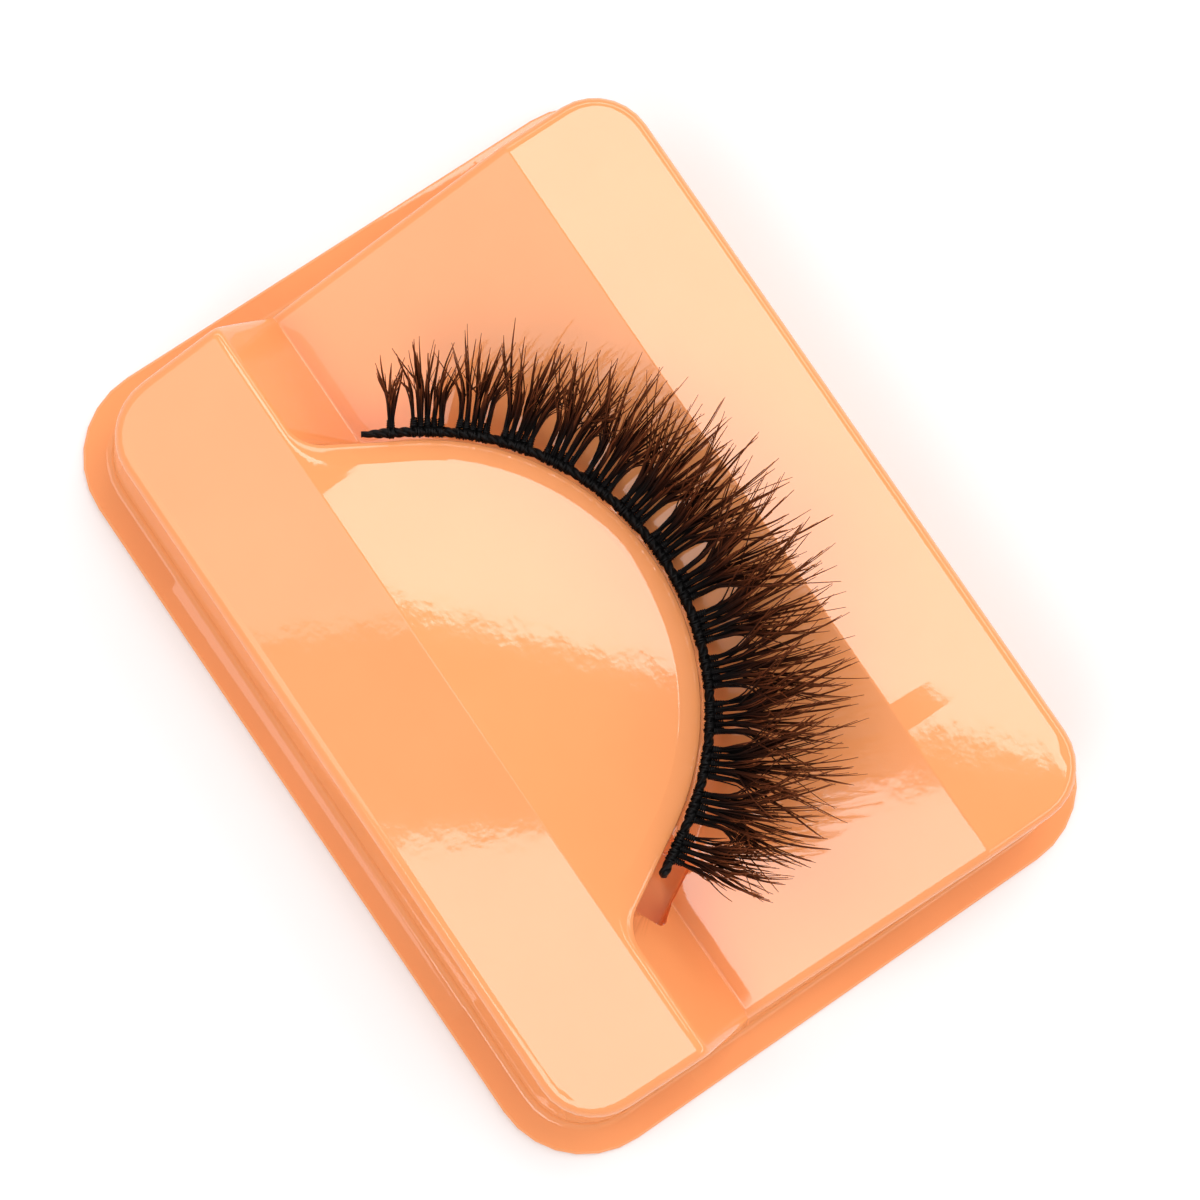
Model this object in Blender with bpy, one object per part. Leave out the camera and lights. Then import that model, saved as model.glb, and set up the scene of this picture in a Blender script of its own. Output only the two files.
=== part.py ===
# A strip of false lashes lying on one seat of its moulded tray. Metres, +Z up, the tray's flange on z = 0.
# The open side of the strip's bend faces +Y and its hairs fan out towards -Y.
# Its inner corner, with the short hairs, is on the +X side, and its outer corner is on the -X side.

import math

import bmesh
import bpy
from mathutils import Vector

MM = 0.001

# Band: the thin thread that carries the hairs, bent to the curve of a lid
BEND_RADIUS = 13.5 * MM
BEND_HALF_ANGLE = math.radians(60.0)
BAND_LENGTH = 33.0 * MM
BAND_THICKNESS = 0.45 * MM
BAND_HEIGHT = 0.8 * MM
BARE_TAIL_LENGTH = 1.2 * MM
BARE_TAIL_THICKNESS = 0.3 * MM

# Flat stretches of the band's section, as shares of its thickness and its height
BAND_FLAT_TOP = 0.5
BAND_FLAT_SIDE = 0.6

# Hair: clusters of curled locks, each cluster knotted to the band
CLUSTER_COUNT = 15
FIRST_CLUSTER_IN = 1.5 * MM
LAST_CLUSTER_IN = 1.3 * MM
KNOT_GAP = 0.05 * MM
KNOT_WIDTH = 1.2 * MM
KNOT_DEPTH = 0.45 * MM
KNOT_HEIGHT = 0.6 * MM
HAIR_LENGTH = 10.8 * MM
LOCK_COLUMNS = 4
LOCK_TIP = 0.05 * MM
LOCK_GAP = 0.27 * MM
LEAN_AT_INNER = math.radians(1.0)
LEAN_AT_OUTER = math.radians(11.0)

# Length of each cluster's hairs, as a share of the longest, from the inner corner to the outer
CLUSTER_LENGTHS = (
    0.42, 0.50, 0.58, 0.65, 0.71, 0.78, 0.84, 0.89,
    0.93, 0.96, 0.98, 1.00, 1.00, 0.93, 0.78,
)

# The layers of a cluster, lowest first: which columns of the knot grow a lock, the lock's length
# as a share of the cluster's own, and how steeply it rises at its root and its tip
LOCK_LAYERS = (
    {"columns": (0, 1, 2, 3), "length": 1.00, "root": math.radians(22.0), "tip": math.radians(80.0)},
    {"columns": (1, 2), "length": 0.66, "root": math.radians(42.0), "tip": math.radians(90.0)},
)

# Tray seat: one seat of the long tray, formed from thin sheet, with a flange round its foot
TRAY_WIDTH = 42.0 * MM
BEHIND_RIDGE = 7.5 * MM
BEFORE_RIDGE = 23.0 * MM
TRAY_CORNER = 3.0 * MM
SHEET = 0.45 * MM
SKIRT_SPREAD = 0.3 * MM
FLANGE_WIDTH = 1.5 * MM
SEAT_HEIGHT = 8.5 * MM
SHELF_DROP = 5.5 * MM
SEAT_PITCH = 17.0 * MM
RIDGE_RUN = 3.0 * MM
RIDGE_TO_CENTRE = 1.95 * MM
RIDGE_CORNER = 2.0 * MM
FOOT_CORNER = 0.8 * MM
FLANK_LEAST = 0.2 * MM
CREST_ROUND = 0.9 * MM
CREASE_ROUND = 0.5 * MM
CREASE_LAND = 0.15 * MM
RIM_ROUND = 0.6 * MM
WALL_FOOT_ROUND = 0.35 * MM
RIDGE_FOOT_ROUND = 1.0 * MM
WALL_DRAFT = math.radians(8.0)
SEAT_GAP = 0.08 * MM
KNOT_OVER_SHELF = 0.15 * MM

# Lines of the rounded foot of the wall and the ridge, as shares of its rounding out from the foot and up
FOOT_ROUNDING = (
    {"out": -0.2, "up": 1.0},
    {"out": 0.3, "up": 0.3},
    {"out": 1.0, "up": 0.0},
)

# Shares of the way from the foot to the next crease at which lines cross the sloping shelf
SHELF_LINES = (0.35, 0.7)

# Lifting pit: a small recess beside the seat's outer corner, where the strip's end is lifted
PIT_WIDTH = 1.8 * MM
PIT_LENGTH = 3.6 * MM
PIT_CORNER = 0.4 * MM
PIT_FLOOR = 2.0 * MM
PIT_FROM_RIDGE = 1.0 * MM
PIT_FLOOR_SHARE = 0.85

# How finely the round stretches are divided
BAND_STEPS = 40
LOCK_STEPS = 5
ARC_STEPS = 11
FLANK_STEPS = 2
CORNER_STEPS = 3
RIDGE_STEPS = 2
CREST_STEPS = 3
SIDE_CORNER_STEPS = 3
RIM_STEPS = 2
PIT_SIDES = 12
ARC_TRIM = math.radians(0.5)

# Places that follow from the sizes
TRAY_DEPTH = BEHIND_RIDGE + BEFORE_RIDGE
RIDGE_Y = TRAY_DEPTH / 2 - BEHIND_RIDGE
CREASE_Y = RIDGE_Y + CREST_ROUND + CREASE_LAND + CREASE_ROUND
SHELF_SLOPE = SHELF_DROP / (SEAT_PITCH - RIDGE_RUN - (CREASE_Y - RIDGE_Y))
RIDGE_SLOPE = math.atan2(SHELF_DROP, RIDGE_RUN)
WALL_SLOPE = math.pi / 2 - WALL_DRAFT
CENTRE_Y = RIDGE_Y + RIDGE_TO_CENTRE
KNOT_FRONT = BEND_RADIUS + BAND_THICKNESS / 2 + KNOT_GAP + KNOT_DEPTH
CLUSTER_PITCH = (BAND_LENGTH - FIRST_CLUSTER_IN - LAST_CLUSTER_IN) / (CLUSTER_COUNT - 1)
UP = Vector((0.0, 0.0, 1.0))


def clear_scene():
    for thing in list(bpy.data.objects):
        bpy.data.objects.remove(thing, do_unlink=True)


def material(name, colour, roughness):
    made = bpy.data.materials.new(name)
    made.use_nodes = True
    shader = made.node_tree.nodes["Principled BSDF"]
    shader.inputs["Base Color"].default_value = (*colour, 1.0)
    shader.inputs["Roughness"].default_value = roughness
    shader.inputs["Metallic"].default_value = 0.0
    return made


def add_object(name, points, faces, finish=None, sharp_above=40.0):
    """A mesh object with its faces turned outward and its round stretches shaded smooth."""
    mesh = bpy.data.meshes.new(name)
    mesh.from_pydata([tuple(point) for point in points], [], faces)
    turned = bmesh.new()
    turned.from_mesh(mesh)
    bmesh.ops.recalc_face_normals(turned, faces=turned.faces)
    turned.to_mesh(mesh)
    turned.free()
    mesh.shade_smooth()
    mesh.set_sharp_from_angle(angle=math.radians(sharp_above))
    if finish:
        mesh.materials.append(finish)
    made = bpy.data.objects.new(name, mesh)
    bpy.context.scene.collection.objects.link(made)
    return made


def as_cutter(made):
    made.hide_render = True
    made.display_type = "WIRE"
    return made


def take_away(target, cutter):
    cut = target.modifiers.new("take away " + cutter.name, "BOOLEAN")
    cut.operation = "DIFFERENCE"
    cut.solver = "EXACT"
    cut.object = cutter


def blend(start, end, share):
    return start + (end - start) * share


# Path of the band in plan. A length along it is 0 at the front of the bend and grows towards -X.


def heading(along):
    return max(-BEND_HALF_ANGLE, min(BEND_HALF_ANGLE, along / BEND_RADIUS))


def outward_at(turn):
    return Vector((-math.sin(turn), -math.cos(turn), 0.0))


def onward_at(turn):
    return Vector((-math.cos(turn), math.sin(turn), 0.0))


def band_level():
    """Height of the band's middle, so that the foremost knots lie just over the sloping shelf."""
    return shelf_level(CENTRE_Y - KNOT_FRONT) + KNOT_OVER_SHELF + KNOT_HEIGHT / 2


def band_point(along, outward, height):
    turn = heading(along)
    straight = along - turn * BEND_RADIUS
    centre = Vector((0.0, CENTRE_Y, height))
    return centre + outward_at(turn) * (BEND_RADIUS + outward) + onward_at(turn) * straight


# Band


def make_band(finish):
    points = []
    for step in range(BAND_STEPS + 1):
        along = BAND_LENGTH * (step / BAND_STEPS - 0.5)
        into_tail = max(0.0, 1.0 - (along + BAND_LENGTH / 2) / BARE_TAIL_LENGTH)
        half = blend(BAND_THICKNESS, BARE_TAIL_THICKNESS, into_tail) / 2
        tall = BAND_HEIGHT / 2
        top, side = BAND_FLAT_TOP * half, BAND_FLAT_SIDE * tall
        section = (
            (-half, -side), (-half, side), (-top, tall), (top, tall),
            (half, side), (half, -side), (top, -tall), (-top, -tall),
        )
        points += [band_point(along, out, band_level() + up) for out, up in section]
    sides = len(section)
    faces = [list(range(sides)), [BAND_STEPS * sides + side for side in range(sides)]]
    for step in range(BAND_STEPS):
        for side in range(sides):
            here = step * sides + side
            beside = step * sides + (side + 1) % sides
            faces.append([here, beside, beside + sides, here + sides])
    return add_object("lash_band", points, faces, finish)


# Hair clusters


def cluster_length(spread):
    """Length of the hairs at a share of the way from the inner corner to the outer."""
    place = spread * (len(CLUSTER_LENGTHS) - 1)
    below = min(int(place), len(CLUSTER_LENGTHS) - 2)
    return HAIR_LENGTH * blend(CLUSTER_LENGTHS[below], CLUSTER_LENGTHS[below + 1], place - below)


def curl_reach(length, layer, rise):
    """How far ahead a lock has come where it has curled up to one rise."""
    return (math.sin(rise) - math.sin(layer["root"])) * length / (layer["tip"] - layer["root"])


def fan_angle(along, length, side):
    """How far a cluster's outermost lock turns aside, to end a gap short of halfway to the next cluster."""
    layer = LOCK_LAYERS[0]
    reach = curl_reach(length, layer, layer["tip"])
    swing = abs(heading(along + side * CLUSTER_PITCH) - heading(along))
    outermost = KNOT_WIDTH * (LOCK_COLUMNS - 1) / LOCK_COLUMNS / 2
    return math.atan2((CLUSTER_PITCH + reach * swing) / 2 - outermost - LOCK_GAP, reach)


def grow_lock(points, faces, root, length, layer, onward, ahead):
    """Draws a tapered lock out of one front face of the knot along an even curl."""
    middle = sum((points[corner] for corner in root), Vector()) / len(root)
    corners = [((points[corner] - middle).dot(onward), (points[corner] - middle).z) for corner in root]
    aside = ahead.cross(UP)
    aside *= math.copysign(1.0, aside.dot(onward))
    curl = layer["tip"] - layer["root"]
    ring = root
    for step in range(1, LOCK_STEPS + 1):
        share = step / LOCK_STEPS
        rise = layer["root"] + curl * share
        reach = curl_reach(length, layer, rise)
        lift = (math.cos(layer["root"]) - math.cos(rise)) * length / curl
        centre = middle + ahead * reach + UP * lift
        over = UP * math.cos(rise) - ahead * math.sin(rise)
        added = []
        for wide, tall in corners:
            wide = blend(wide, math.copysign(LOCK_TIP / 2, wide), share)
            tall = blend(tall, math.copysign(LOCK_TIP / 2, tall), share)
            points.append(centre + aside * wide + over * tall)
            added.append(len(points) - 1)
        for side in range(len(root)):
            beside = (side + 1) % len(root)
            faces.append([ring[side], ring[beside], added[beside], added[side]])
        ring = added
    faces.append(ring)


def make_cluster(number, finish):
    """One knot head with its locks, grown out of the knot's front faces as one closed body."""
    spread = (number - 1) / (CLUSTER_COUNT - 1)
    along = blend(FIRST_CLUSTER_IN - BAND_LENGTH / 2, BAND_LENGTH / 2 - LAST_CLUSTER_IN, spread)
    turn = heading(along)
    outward, onward = outward_at(turn), onward_at(turn)
    lean = blend(LEAN_AT_INNER, LEAN_AT_OUTER, spread)
    longest = cluster_length(spread)
    columns, rows = LOCK_COLUMNS, len(LOCK_LAYERS)
    heel = band_point(along, BAND_THICKNESS / 2 + KNOT_GAP, band_level() - KNOT_HEIGHT / 2)
    points = []
    for depth in (0.0, KNOT_DEPTH):
        for row in range(rows + 1):
            for column in range(columns + 1):
                aside = onward * KNOT_WIDTH * (column / columns - 0.5)
                points.append(heel + outward * depth + aside + UP * (KNOT_HEIGHT * row / rows))
    wide = columns + 1
    front = wide * (rows + 1)
    faces = []
    for row, layer in enumerate(LOCK_LAYERS):
        for column in range(columns):
            corner = row * wide + column
            square = [corner, corner + 1, corner + 1 + wide, corner + wide]
            root = [front + place for place in square]
            faces.append(square)
            if column not in layer["columns"]:
                faces.append(root)
                continue
            place = 2 * column / (columns - 1) - 1
            fan = lean + place * fan_angle(along, longest, math.copysign(1.0, place))
            ahead = outward * math.cos(fan) + onward * math.sin(fan)
            grow_lock(points, faces, root, longest * layer["length"], layer, onward, ahead)
    for column in range(columns):
        for row in (0, rows):
            edge = row * wide + column
            faces.append([edge, edge + 1, front + edge + 1, front + edge])
    for row in range(rows):
        for column in (0, columns):
            edge = row * wide + column
            faces.append([edge, edge + wide, front + edge + wide, front + edge])
    return add_object(f"hair_cluster_{number:02d}", points, faces, finish)


# Tray seat. Its surface is a set of lines that run from side to side, round the seat or straight across.
# Each is worked out as one half, from the seat's front point to the -X side, and mirrored.
# A depth is how far a line lies under the outer surface: 0 outside, and the sheet's thickness inside.


def shelf_level(y):
    """Height of the sloping shelf behind the ridge or in front of it, flat past the crease that ends it."""
    fall = y - CREASE_Y if y > RIDGE_Y else y - CREASE_Y + SEAT_PITCH
    if fall <= -CREASE_ROUND:
        return SEAT_HEIGHT
    if fall >= CREASE_ROUND:
        return SEAT_HEIGHT - SHELF_SLOPE * fall
    return SEAT_HEIGHT - SHELF_SLOPE * (fall + CREASE_ROUND) ** 2 / (4 * CREASE_ROUND)


def seat_radius():
    """Radius of the seat's top, so that its drafted wall is a gap inside the band's lower edge."""
    under = SEAT_HEIGHT - band_level() + BAND_HEIGHT / 2
    return BEND_RADIUS - BAND_THICKNESS / 2 - SEAT_GAP - math.tan(WALL_DRAFT) * under


def wall_run(turn):
    """How far the seat's drafted wall runs out on its way down to the shelf."""
    y = CENTRE_Y - seat_radius() * math.cos(turn)
    return math.tan(WALL_DRAFT) * (SEAT_HEIGHT - shelf_level(y))


def half_width(y):
    """Half the width of the tray's surface at one place, less at its rounded corners."""
    corner = TRAY_CORNER - RIM_ROUND
    into = max(0.0, abs(y) - (TRAY_DEPTH / 2 - TRAY_CORNER))
    return TRAY_WIDTH / 2 - TRAY_CORNER + math.sqrt(max(0.0, corner ** 2 - into ** 2))


def seat_line(ridge_out, wall_out, corner):
    """Half a line round the seat: its arc, its flank, the hollow corner and the ridge out to the side."""
    ridge_y = RIDGE_Y - ridge_out

    def arc_point(turn):
        reach = seat_radius() + wall_out(turn)
        return Vector((-reach * math.sin(turn), CENTRE_Y - reach * math.cos(turn)))

    def flank_length(turn):
        return (ridge_y - arc_point(turn).y) / math.sin(turn) - corner * math.tan(turn / 2)

    arc_turn = BEND_HALF_ANGLE
    while flank_length(arc_turn) < FLANK_LEAST:
        arc_turn -= ARC_TRIM
    line = [arc_point(arc_turn * step / ARC_STEPS) for step in range(ARC_STEPS + 1)]
    arc_end = line[-1]
    onward = onward_at(arc_turn).to_2d()
    meeting = arc_end + onward * ((ridge_y - arc_end.y) / onward.y)
    setback = corner * math.tan(arc_turn / 2)
    flank_end = meeting - onward * setback
    line += [arc_end.lerp(flank_end, step / FLANK_STEPS) for step in range(1, FLANK_STEPS + 1)]
    middle = Vector((meeting.x - setback, ridge_y - corner))
    for step in range(1, CORNER_STEPS + 1):
        turn = arc_turn * (1 - step / CORNER_STEPS)
        line.append(middle + Vector((math.sin(turn), math.cos(turn))) * corner)
    side = Vector((-half_width(ridge_y), ridge_y))
    line += [line[-1].lerp(side, step / RIDGE_STEPS) for step in range(1, RIDGE_STEPS)]
    return line + [side]


def ridge_share(station):
    """0 where a line follows the seat's wall, 1 where it follows the ridge, shared out round the corner."""
    return max(0.0, min(1.0, (station - ARC_STEPS - FLANK_STEPS) / CORNER_STEPS))


def crest_line(share, depth):
    """A line of the rounded edge on top of the seat's wall and the ridge, from its start to its end."""
    radius = CREST_ROUND - depth
    wall_out = radius * math.sin(WALL_SLOPE * share) - CREST_ROUND
    ridge_out = radius * math.sin(RIDGE_SLOPE * share) - CREST_ROUND
    line = []
    for station, (x, y) in enumerate(seat_line(ridge_out, lambda turn: wall_out, RIDGE_CORNER - wall_out)):
        slope = blend(WALL_SLOPE, RIDGE_SLOPE, ridge_share(station)) * share
        line.append(Vector((x, y, SEAT_HEIGHT - CREST_ROUND + radius * math.cos(slope))))
    return line


def foot_line(out, up, depth):
    """A line of the rounded foot of the wall and the ridge, placed by shares of the rounding."""
    ridge_out = RIDGE_RUN + RIDGE_FOOT_ROUND * out - depth

    def wall_out(turn):
        return wall_run(turn) + WALL_FOOT_ROUND * out - depth

    line = []
    for station, (x, y) in enumerate(seat_line(ridge_out, wall_out, FOOT_CORNER)):
        rounding = blend(WALL_FOOT_ROUND, RIDGE_FOOT_ROUND, ridge_share(station))
        line.append(Vector((x, y, shelf_level(y) + rounding * up - depth)))
    return line


def straight_line(beside, y, depth):
    """Half a line straight across, its points spaced as those of the line beside it."""
    stretch = half_width(y) / -beside[-1].x
    return [Vector((point.x * stretch, y, shelf_level(y) - depth)) for point in beside]


def line_between(first, last, share, depth):
    line = []
    for start, end in zip(first, last):
        x, y = start.to_2d().lerp(end.to_2d(), share)
        line.append(Vector((x, y, shelf_level(y) - depth)))
    return line


def surface_lines(depth):
    """The half lines of the tray's surface, from its back edge to its front edge."""
    crest = [crest_line(step / CREST_STEPS, depth) for step in range(CREST_STEPS + 1)]
    foot = [foot_line(rounding["out"], rounding["up"], depth) for rounding in FOOT_ROUNDING]
    corner_ys = [
        TRAY_DEPTH / 2 - TRAY_CORNER
        + (TRAY_CORNER - RIM_ROUND) * math.cos(math.pi / 2 * step / SIDE_CORNER_STEPS)
        for step in range(SIDE_CORNER_STEPS + 1)
    ]
    crease_ys = [CREASE_Y + CREASE_ROUND, CREASE_Y, CREASE_Y - CREASE_ROUND]
    lines = [straight_line(crest[0], y, depth) for y in corner_ys + crease_ys]
    lines += crest + foot
    front = [straight_line(foot[-1], y - SEAT_PITCH, depth) for y in crease_ys]
    lines += [line_between(foot[-1], front[0], share, depth) for share in SHELF_LINES]
    lines += front
    lines += [straight_line(foot[-1], -y, depth) for y in reversed(corner_ys)]
    return lines


def grown(point, out, height):
    """A point of the tray's outline moved straight out from its sides and round corners."""
    corner_x, corner_y = TRAY_WIDTH / 2 - TRAY_CORNER, TRAY_DEPTH / 2 - TRAY_CORNER
    inner = Vector((max(-corner_x, min(corner_x, point.x)), max(-corner_y, min(corner_y, point.y))))
    away = (point.to_2d() - inner).normalized()
    return Vector((point.x + away.x * out, point.y + away.y * out, height))


def tray_block(name, depth, rings_below, finish=None):
    """A closed block under the tray's surface, whose sides go down through the rings given."""
    lines = []
    for half in surface_lines(depth):
        mirrored = [Vector((-point.x, point.y, point.z)) for point in reversed(half[1:])]
        lines.append(mirrored + half)
    across = len(lines[0])
    points = [point for line in lines for point in line]
    faces = []
    for row in range(len(lines) - 1):
        for column in range(across - 1):
            corner = row * across + column
            faces.append([corner, corner + 1, corner + 1 + across, corner + across])
    last = (len(lines) - 1) * across
    loop = list(range(across)) + [row * across + across - 1 for row in range(1, len(lines))]
    loop += [last + column for column in range(across - 2, -1, -1)]
    loop += [row * across for row in range(len(lines) - 2, 0, -1)]
    outline = [points[place] for place in loop]
    radius = RIM_ROUND - depth
    rings = []
    for step in range(1, RIM_STEPS + 1):
        turn = math.pi / 2 * step / RIM_STEPS
        drop = radius * (1 - math.cos(turn))
        rings.append([grown(point, radius * math.sin(turn), point.z - drop) for point in outline])
    rings += [[grown(point, radius + out, height) for point in outline] for out, height in rings_below]
    ring = loop
    for added in rings:
        start = len(points)
        points += added
        for place in range(len(loop)):
            beside = (place + 1) % len(loop)
            faces.append([ring[place], ring[beside], start + beside, start + place])
        ring = list(range(start, start + len(loop)))
    faces.append(ring)
    return add_object(name, points, faces, finish)


def pit_block(name, grow):
    """A drafted block in the place of the lifting pit, along the seat's flank at its outer corner."""
    onward = onward_at(BEND_HALF_ANGLE)
    outward = outward_at(BEND_HALF_ANGLE)
    flank = outward * seat_radius() + Vector((0.0, CENTRE_Y, 0.0))
    to_ridge = (RIDGE_Y - flank.y) / onward.y
    end = flank + onward * (to_ridge - PIT_FROM_RIDGE)
    centre = end - onward * (PIT_LENGTH / 2) + outward * (PIT_WIDTH / 2)
    points = []
    for height, taper in ((PIT_FLOOR - grow, PIT_FLOOR_SHARE), (SEAT_HEIGHT + SHEET, 1.0)):
        long, wide = PIT_LENGTH / 2 * taper + grow, PIT_WIDTH / 2 * taper + grow
        corner = PIT_CORNER + grow
        for side in range(PIT_SIDES):
            turn = math.tau * (side + 0.5) / PIT_SIDES
            along = math.copysign(long - corner, math.cos(turn)) + corner * math.cos(turn)
            aside = math.copysign(wide - corner, math.sin(turn)) + corner * math.sin(turn)
            points.append(centre + onward * along + outward * aside + UP * height)
    faces = [list(range(PIT_SIDES)), list(range(PIT_SIDES, 2 * PIT_SIDES))]
    for side in range(PIT_SIDES):
        beside = (side + 1) % PIT_SIDES
        faces.append([side, beside, beside + PIT_SIDES, side + PIT_SIDES])
    return as_cutter(add_object(name, points, faces))


def make_tray(finish):
    flange = [(SKIRT_SPREAD, SHEET), (SKIRT_SPREAD + FLANGE_WIDTH, SHEET), (SKIRT_SPREAD + FLANGE_WIDTH, 0.0)]
    tray = tray_block("tray_seat", 0.0, flange, finish)
    hollow = as_cutter(tray_block("tray_hollow", SHEET, [(SKIRT_SPREAD, -SHEET)]))
    take_away(hollow, pit_block("pit_wall", SHEET))
    take_away(tray, pit_block("pit", 0.0))
    take_away(tray, hollow)
    return tray


def main():
    clear_scene()
    black = material("black thread", (0.012, 0.010, 0.011), 0.5)
    hair = material("brown black hair", (0.030, 0.014, 0.010), 0.4)
    peach = material("peach sheet", (0.92, 0.50, 0.30), 0.25)
    make_tray(peach)
    make_band(black)
    for number in range(1, CLUSTER_COUNT + 1):
        make_cluster(number, hair)


main()
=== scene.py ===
import math
import random

import bmesh
import bpy
from mathutils import Matrix, Vector


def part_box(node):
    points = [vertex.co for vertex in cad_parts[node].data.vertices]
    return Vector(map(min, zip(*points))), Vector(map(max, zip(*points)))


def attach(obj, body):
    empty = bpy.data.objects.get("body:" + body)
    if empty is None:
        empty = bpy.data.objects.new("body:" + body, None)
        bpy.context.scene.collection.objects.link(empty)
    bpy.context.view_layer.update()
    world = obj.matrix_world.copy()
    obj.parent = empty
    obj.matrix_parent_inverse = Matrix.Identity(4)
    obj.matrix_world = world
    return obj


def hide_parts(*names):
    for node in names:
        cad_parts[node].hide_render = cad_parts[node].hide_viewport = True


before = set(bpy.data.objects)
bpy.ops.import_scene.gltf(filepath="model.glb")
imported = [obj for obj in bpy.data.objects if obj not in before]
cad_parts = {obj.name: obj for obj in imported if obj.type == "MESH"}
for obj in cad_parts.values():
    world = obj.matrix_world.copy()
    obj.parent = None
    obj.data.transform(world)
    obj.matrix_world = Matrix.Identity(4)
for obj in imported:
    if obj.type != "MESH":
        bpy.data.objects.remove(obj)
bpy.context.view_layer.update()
print("frame loaded:", len(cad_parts), "solids")

# A strip of false lashes on one seat of its moulded tray. The hairs fan out towards -Y,
# and the short ones are at the strip's inner corner, on the +X side.
mm = 0.001
up = Vector((0, 0, 1))
bandLow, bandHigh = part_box("lash_band")


def mix(first, last, share):
    return first + (last - first) * share


def ease(share):
    share = max(0.0, min(1.0, share))
    return share * share * (3 - 2 * share)


def ellipseFrom(points, faces, centre, across, over, sides, first):
    # one ring of a tube; joins it to the ring before unless it is the first
    start = len(points)
    for side in range(sides):
        angle = math.tau * side / sides
        points.append(centre + across * math.cos(angle) + over * math.sin(angle))
    if not first:
        for side in range(sides):
            beside = (side + 1) % sides
            before = start - sides
            faces.append((before + side, before + beside, start + beside, start + side))
    return list(range(start, start + sides))


def meshPiece(name, points, faces, finish=None, sharpAbove=50):
    mesh = bpy.data.meshes.new(name)
    mesh.from_pydata([tuple(point) for point in points], [], faces)
    turned = bmesh.new()
    turned.from_mesh(mesh)
    bmesh.ops.recalc_face_normals(turned, faces=turned.faces)
    turned.to_mesh(mesh)
    turned.free()
    mesh.shade_smooth()
    mesh.set_sharp_from_angle(angle=math.radians(sharpAbove))
    if finish:
        mesh.materials.append(finish)
    piece = bpy.data.objects.new(name, mesh)
    bpy.context.scene.collection.objects.link(piece)
    return piece


# Small helpers for the finishes
def newFinish(name):
    finish = bpy.data.materials.new(name)
    finish.use_nodes = True
    tree = finish.node_tree
    return finish, tree, tree.nodes["Principled BSDF"]


def addNoise(tree, scale, detail=3.0, roughness=0.5, stretch=(1, 1, 1)):
    place = tree.nodes.new("ShaderNodeTexCoord")
    sized = tree.nodes.new("ShaderNodeMapping")
    sized.inputs["Scale"].default_value = stretch
    noise = tree.nodes.new("ShaderNodeTexNoise")
    noise.inputs["Scale"].default_value = scale
    noise.inputs["Detail"].default_value = detail
    noise.inputs["Roughness"].default_value = roughness
    tree.links.new(place.outputs["Object"], sized.inputs["Vector"])
    tree.links.new(sized.outputs["Vector"], noise.inputs["Vector"])
    return noise.outputs["Fac"]


def addRamp(tree, value, stops):
    ramp = tree.nodes.new("ShaderNodeValToRGB")
    bar = ramp.color_ramp.elements
    while len(bar) < len(stops):
        bar.new(0.5)
    for stop, (place, colour) in zip(bar, stops):
        stop.position = place
        stop.color = (*colour, 1)
    tree.links.new(value, ramp.inputs["Fac"])
    return ramp.outputs["Color"]


def addSpan(tree, value, low, high, fromLow=0.0, fromHigh=1.0):
    span = tree.nodes.new("ShaderNodeMapRange")
    span.inputs["From Min"].default_value = fromLow
    span.inputs["From Max"].default_value = fromHigh
    span.inputs["To Min"].default_value = low
    span.inputs["To Max"].default_value = high
    tree.links.new(value, span.inputs["Value"])
    return span.outputs["Result"]


def addBump(tree, height, depth, before=None):
    bump = tree.nodes.new("ShaderNodeBump")
    bump.inputs["Distance"].default_value = depth
    tree.links.new(height, bump.inputs["Height"])
    if before:
        tree.links.new(before, bump.inputs["Normal"])
    return bump.outputs["Normal"]


# The strip's bend, shared by the band, its knots and the hairs
strip = {
    "bendRadius": 13.5 * mm,
    "halfAngle": math.radians(60),
    "length": 33 * mm,
    "bandThickness": 0.45 * mm,
    "clusters": 15,
    "firstClusterIn": 1.45 * mm,
    "secondClusterIn": 3.2 * mm,
    "lastClusterIn": 1.65 * mm,
    "leanInner": math.radians(1),
    "leanOuter": math.radians(-3),
}
centreY = bandLow.y + strip["bendRadius"] + strip["bandThickness"] / 2
bandLevel = (bandLow.z + bandHigh.z) / 2


def heading(along):
    return max(-strip["halfAngle"], min(strip["halfAngle"], along / strip["bendRadius"]))


def outwardAt(turn):
    return Vector((-math.sin(turn), -math.cos(turn), 0))


def onwardAt(turn):
    return Vector((-math.cos(turn), math.sin(turn), 0))


def bandPoint(along, outward, height):
    turn = heading(along)
    straight = along - turn * strip["bendRadius"]
    centre = Vector((0, centreY, height))
    return centre + outwardAt(turn) * (strip["bendRadius"] + outward) + onwardAt(turn) * straight


def leanAt(number):
    return mix(strip["leanInner"], strip["leanOuter"], (number - 1) / (strip["clusters"] - 1))


def clusterAlong(number):
    # the first cluster is a lone tuft beside the bare tail
    half = strip["length"] / 2
    if number == 1:
        return strip["firstClusterIn"] - half
    share = (number - 2) / (strip["clusters"] - 2)
    return mix(strip["secondClusterIn"] - half, half - strip["lastClusterIn"], share)


# Camera: the photo's angle to this seat, rolled as the photo shows it
view = {
    "lookAlong": (0.069, -0.158, -0.985),
    "pictureRight": (-0.565, -0.826, 0.093),
    "aim": (0.0 * mm, -0.5 * mm, 5.0 * mm),
    "distance": 168 * mm,
    "lens": 103,
}


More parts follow.
